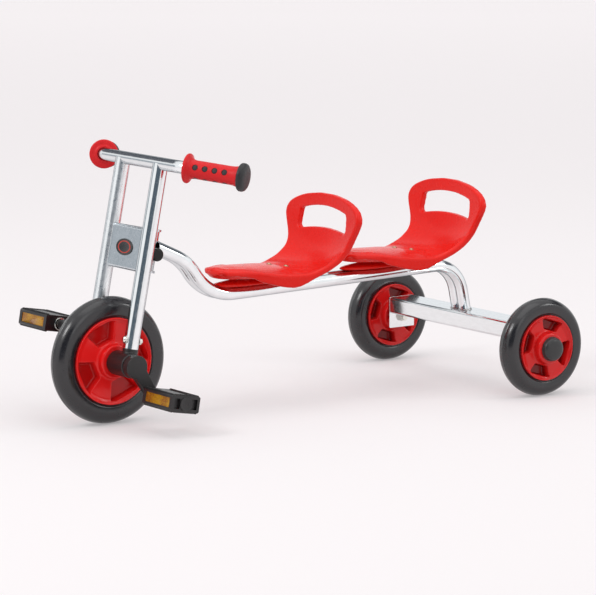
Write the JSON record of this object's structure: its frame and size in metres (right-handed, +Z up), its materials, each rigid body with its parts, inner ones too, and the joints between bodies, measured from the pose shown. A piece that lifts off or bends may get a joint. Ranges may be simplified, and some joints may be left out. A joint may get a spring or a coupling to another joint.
{
  "type": "tandem tricycle",
  "caption": "Child's tandem tricycle: twin-tube frame with two moulded seats, a steered front wheel driven by its own pedals, and a rear cross beam with two wheels.",
  "frame": {"origin": "on the floor, midway along and across the tricycle", "axes": "+X the rider's left, -Y the front, +Z up"},
  "size_m": [0.6176, 1.1, 0.5364],
  "materials": {
    "chrome_tube": "bright plated",
    "zinc_beam": "satin plated",
    "steel_fittings": "plated",
    "seat_plastic": "glossy moulded",
    "wheel_plastic": "glossy moulded",
    "grip_rubber": "satin",
    "grip_end_rubber": "satin",
    "stop_rubber": "matt",
    "black_plastic": "satin moulded",
    "badge": "plain disc with no lettering",
    "reflector": "prismatic amber",
    "tyre": "satin solid rubber"
  },
  "bodies": {
    "frame": {"left_frame_tube": "chrome_tube", "right_frame_tube": "chrome_tube", "head_tube": "chrome_tube", "left_steering_stop": "stop_rubber", "right_steering_stop": "stop_rubber", "front_seat": "seat_plastic", "rear_seat": "seat_plastic", "rear_beam": "zinc_beam", "left_wheel_bracket": "zinc_beam", "right_wheel_bracket": "zinc_beam", "left_stub_axle": "steel_fittings", "right_stub_axle": "steel_fittings"},
    "fork": {"left_fork_tube": "chrome_tube", "right_fork_tube": "chrome_tube", "crown_box": "chrome_tube", "badge": "badge", "pivot_bolt": "steel_fittings", "handlebar": "chrome_tube", "left_grip": "grip_rubber", "right_grip": "grip_rubber", "left_grip_knob": "grip_end_rubber", "right_grip_knob": "grip_end_rubber", "left_bearing_housing": "black_plastic", "right_bearing_housing": "black_plastic"},
    "front_wheel": {"front_tyre": "tyre", "front_rim": "wheel_plastic", "front_axle": "steel_fittings", "left_crank": "black_plastic", "right_crank": "black_plastic"},
    "left_pedal": {"left_pedal": "black_plastic", "left_pedal_reflectors": "reflector"},
    "right_pedal": {"right_pedal": "black_plastic", "right_pedal_reflectors": "reflector"},
    "left_rear_wheel": {"left_rear_tyre": "tyre", "left_rear_rim": "wheel_plastic", "left_hub_cap": "black_plastic"},
    "right_rear_wheel": {"right_rear_tyre": "tyre", "right_rear_rim": "wheel_plastic", "right_hub_cap": "black_plastic"}
  },
  "joints": [
    {"name": "steering", "type": "hinge", "parent": "frame", "child": "fork", "pos_m": [0, -0.33294, 0.3321], "axis": [0, 0.1994, 0.9799], "range_deg": [-40, 40]},
    {"name": "front_wheel_spin", "type": "hinge", "parent": "fork", "child": "front_wheel", "pos_m": [0, -0.425, 0.125], "axis": [1, 0, 0], "continuous": true},
    {"name": "left_pedal_spin", "type": "hinge", "parent": "front_wheel", "child": "left_pedal", "pos_m": [0.1665, -0.38688, 0.06629], "axis": [1, 0, 0], "continuous": true},
    {"name": "right_pedal_spin", "type": "hinge", "parent": "front_wheel", "child": "right_pedal", "pos_m": [-0.1665, -0.46313, 0.18371], "axis": [1, 0, 0], "continuous": true},
    {"name": "left_rear_wheel_spin", "type": "hinge", "parent": "frame", "child": "left_rear_wheel", "pos_m": [0.25875, 0.45, 0.1], "axis": [1, 0, 0], "continuous": true},
    {"name": "right_rear_wheel_spin", "type": "hinge", "parent": "frame", "child": "right_rear_wheel", "pos_m": [-0.25875, 0.45, 0.1], "axis": [1, 0, 0], "continuous": true}
  ]
}
